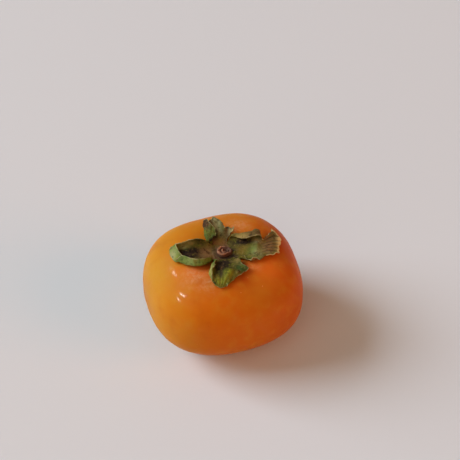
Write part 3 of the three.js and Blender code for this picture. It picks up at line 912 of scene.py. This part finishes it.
def build_disc():
    """A lens of even height above the hollow skin, with low bumps where it has dried.

    The lens is a half circle turned round the stem, widened by raising its sine to a power,
    and its rim slopes down."""
    angle = np.arange(DISC_COLUMNS) * 2 * math.pi / DISC_COLUMNS
    bent = np.linspace(0, math.pi, DISC_ROWS + 2)[1:-1]
    radius = DISC_RADIUS * np.sin(bent) ** 0.6
    level = (DISC_LOW + DISC_HIGH) / 2 - (DISC_HIGH - DISC_LOW) / 2 * np.cos(bent)
    level -= 0.5 * (radius / DISC_RADIUS) ** 4 * (level > 1)
    x = radius[:, None] * np.cos(angle)
    y = radius[:, None] * np.sin(angle)
    on_top = (level > 1)[:, None]
    bumps = BUMP * waves(x, y, 0, BUMP_SIZE, 14, 61) * on_top
    from_mound = (x - MOUND_AT[0]) ** 2 + (y - MOUND_AT[1]) ** 2
    mound = MOUND * np.exp(-from_mound / MOUND_SPREAD) * on_top
    z = skin_at(x, y) + level[:, None] + bumps + mound
    ends = [(0, 0, crown_height(0.0) + DISC_LOW), (0, 0, crown_height(0.0) + DISC_HIGH)]
    points, faces = turned_piece(np.stack([x, y, z], -1), *ends)
    zeros = np.zeros(len(points))
    tint = np.tile(linear(TONES["brown"]), (len(points), 1))
    for tone, place, reach in DISC_PATCHES:
        fall = np.exp(-(((points[:, :2] - np.array(place)) / reach) ** 2).sum(axis=1))
        tint += (np.array(linear(TONES[tone])) - tint) * fall[:, None]
    attributes = {"margin": zeros, "veins": zeros, "tint": tint}
    return add_piece("calyx_disc", points, faces, "calyx", attributes)


disc = build_disc()


# %% [markdown]
# ### Dried leaf
#
# The finish is a sepal that has half dried: leathery and matt, still green where it is
# thick, brown in its hollows and darker there where shade is painted, and pale where the
# margin has gone papery. Its underside, which the rolled margins turn up, is a brighter
# green. Each point of a lobe already carries its own tint, painted shade included, so the
# material only adds what is finer: blotches, flecks, a dry rim and veins.

# %% Calyx material
leaf_look = {"Roughness": 0.7, "Specular IOR Level": 0.12}
leaf, tree, shader = new_material("half_dried_sepal", leaf_look)
spot = node(tree, "TexCoord").outputs["Object"]
margin = node(tree, "Attribute", attribute_name="margin").outputs["Fac"]
veins = node(tree, "Attribute", attribute_name="veins").outputs["Fac"]
tint = node(tree, "Attribute", attribute_name="tint").outputs["Color"]
leaf_noises = []
for size_mm, detail, rough in ((2.8, 5.0, 0.6), (1.1, 4.0, 0.65), (0.45, 3.0, 0.5)):
    settings = {"Vector": spot, "Scale": 1 / (size_mm * MM), "Detail": detail, "Roughness": rough}
    leaf_noises.append(node(tree, "TexNoise", settings).outputs[0])
blotch, fleck, fine = leaf_noises
shade_and_dark_spot, yellow, tan, pale = (linear(TONES[tone]) for tone in ("shade_and_dark_spot", "yellow", "tan", "pale"))
colour = stain(tree, tint, shade_and_dark_spot, blotch, 0.47, 0.3, 0.7)
colour = stain(tree, colour, yellow, blotch, 0.54, 0.68, 0.4)
colour = stain(tree, colour, tan, fleck, 0.54, 0.7, 0.4)
colour = stain(tree, colour, shade_and_dark_spot, fleck, 0.45, 0.3, 0.5)
ends = {0: margin, 1: 0.94, 2: 0.995}
rim = node(tree, "MapRange", ends, interpolation_type="SMOOTHSTEP").outputs[0]
colour = stain(tree, colour, pale, blotch, 0.42, 0.6, 0.85, 0.1, times=rim)
faint = node(tree, "Math", {0: veins, 1: 0.1}, operation="MULTIPLY").outputs[0]
colour = node(tree, "Mix", {0: faint, 6: colour, 7: tan}, data_type="RGBA").outputs[2]
tree.links.new(colour, shader.inputs["Base Color"])
relief = node(tree, "Bump", {"Strength": 0.5, "Distance": 0.15 * MM, "Height": fine})
tree.links.new(relief.outputs[0], shader.inputs["Normal"])
for piece in (*lobes.values(), disc):
    piece.data.materials.append(leaf)
print("calyx pieces:", len(lobes) + 1)


# %% [markdown]
# ## The stem stub
#
# The woody stem broke off just above the calyx. What is left is a ring of fibres round a
# hollow pith, with an uneven rim. It is a turned profile, because the stem grew round; the
# fibres and the broken rim are then worked into it.

# %% Stub surface
# Radius and height of the points that the profile runs through, from the foot to the pith.
STUB_PROFILE = [
    (0.8, 0), (3.2, 0), (3.4, 1.1), (3.2, 2), (2.8, 2.5), (2.3, 2.2),
    (1.9, 1.5), (1.5, 1.9), (1.1, 1.9), (0.7, 1.1), (0.2, 1),
]
STUB_COLUMNS = 150
STUB_ROWS = 110
BREAKS = [(0.4, 4, 12), (0.12, 1.3, 16)]  # height, length and number of waves of the rim
PITH_AT = (0.7, 0.5)  # how far the hollow pith lies off the middle


def build_stub():
    """The turned profile of the solid, with fibres that ripple round it and a broken rim.

    Sines of the angle make seven thick fibres, finer ones between them and an outline that
    isn't quite round. The pith is shifted to one side, the rim is lower where the stem tore
    off, and the foot follows the skin."""
    angle = np.arange(STUB_COLUMNS) * 2 * math.pi / STUB_COLUMNS
    radius, level = through(STUB_PROFILE, np.linspace(0, 1, STUB_ROWS)).T
    radius, level = radius[:, None], level[:, None]
    high = np.clip(level / STUB_HEIGHT, 0, 1)
    fibres = 0.10 * np.sin(7 * angle + 2 * np.sin(2 * angle)) + 0.03 * np.sin(23 * angle + 1)
    oval = 1 + 0.06 * np.sin(2 * angle + 1) + 0.05 * np.sin(3 * angle + 2)
    wide = radius * oval + fibres * np.clip(radius - 1, 0, 1)
    pith = np.clip(1 - radius / 2.6, 0, 1)
    x = wide * np.cos(angle) + PITH_AT[0] * pith
    y = wide * np.sin(angle) + PITH_AT[1] * pith
    foot = crown_height(0.0) + DISC_HIGH + 0.1
    broken = sum(
        tall * waves(x, y, level, size, count, 71 + k)
        for k, (tall, size, count) in enumerate(BREAKS)
    )
    z = foot + level + high * (broken - 0.3 * np.cos(angle - 0.3) - 0.2)
    z = np.minimum(z, foot + STUB_HEIGHT + 0.3)
    x = x + STUB_X
    z += (1 - high) * (skin_at(x, y) - crown_height(0.0))
    ends = [(STUB_X, 0, foot), (STUB_X, 0, z[-1].mean())]
    points, faces = turned_piece(np.stack([x, y, z], -1), *ends)
    # painted light and shade: the rim pale where the wood tore and lighter still on the side
    # towards the window, the foot dark where shade falls
    worn_and_lit = np.append((high * (0.9 - 0.24 * np.cos(angle - 0.4))).ravel(), [0, 0.4])
    return add_piece("stem_stub_fibres", points, faces, "stem_stub", {"worn_and_lit": worn_and_lit})


stub = build_stub()


# %% [markdown]
# ### Broken wood
#
# The finish is dry, torn wood, matt and rough: dark red-brown low down and inside, partly
# painted shade, and paler on the rim, where it has worn, and lighter on the side towards the
# window, which is painted light. Each point carries how worn and lit it is, and noise at the
# size of the grain breaks the edge between the two.

# %% Stub material
wood, tree, shader = new_material("broken_stem_wood", {"Roughness": 0.8})
spot = node(tree, "TexCoord").outputs["Object"]
grain = {"Vector": spot, "Scale": 1 / (1.6 * MM), "Detail": 4.0}
patch = node(tree, "TexNoise", grain).outputs[0]
worn_and_lit = node(tree, "Attribute", attribute_name="worn_and_lit").outputs["Fac"]
ends = {0: worn_and_lit, 1: 0.6, 2: 1.0}
rim = node(tree, "MapRange", ends, interpolation_type="SMOOTHSTEP").outputs[0]
# pale torn wood on the rim, partly painted highlight; the dark bark lower down is partly painted
# shade
bark, torn_wood_and_highlight = linear("5a3b2c"), linear("a87858")
colour = stain(tree, bark, torn_wood_and_highlight, patch, 0.4, 0.55, 1.0, 0.3, times=rim)
tree.links.new(colour, shader.inputs["Base Color"])
relief = node(tree, "Bump", {"Strength": 0.6, "Distance": 0.2 * MM, "Height": patch})
tree.links.new(relief.outputs[0], shader.inputs["Normal"])
stub.data.materials.append(wood)
print("stub finish:", wood.name)


# %% [markdown]
# ## The style remnant
#
# Under the fruit, in the blossom dip, a dark dry point is left of the flower. It is a few
# millimetres wide and its solid has the right shape, so it only gets its finish: dead plant
# fibre, almost black and without any shine.

# %% Remnant material
char, tree, shader = new_material("dry_style", {"Roughness": 0.9})
spot = node(tree, "TexCoord").outputs["Object"]
grain = {"Vector": spot, "Scale": 1 / (0.8 * MM), "Detail": 3.0}
patch = node(tree, "TexNoise", grain).outputs[0]
shades = {0: patch, 6: linear("1c120d"), 7: linear("4a3526")}
colour = node(tree, "Mix", shades, data_type="RGBA").outputs[2]
tree.links.new(colour, shader.inputs["Base Color"])
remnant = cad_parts["style_remnant"]
remnant.data.materials.clear()
remnant.data.materials.append(char)
print("remnant finish:", char.name)
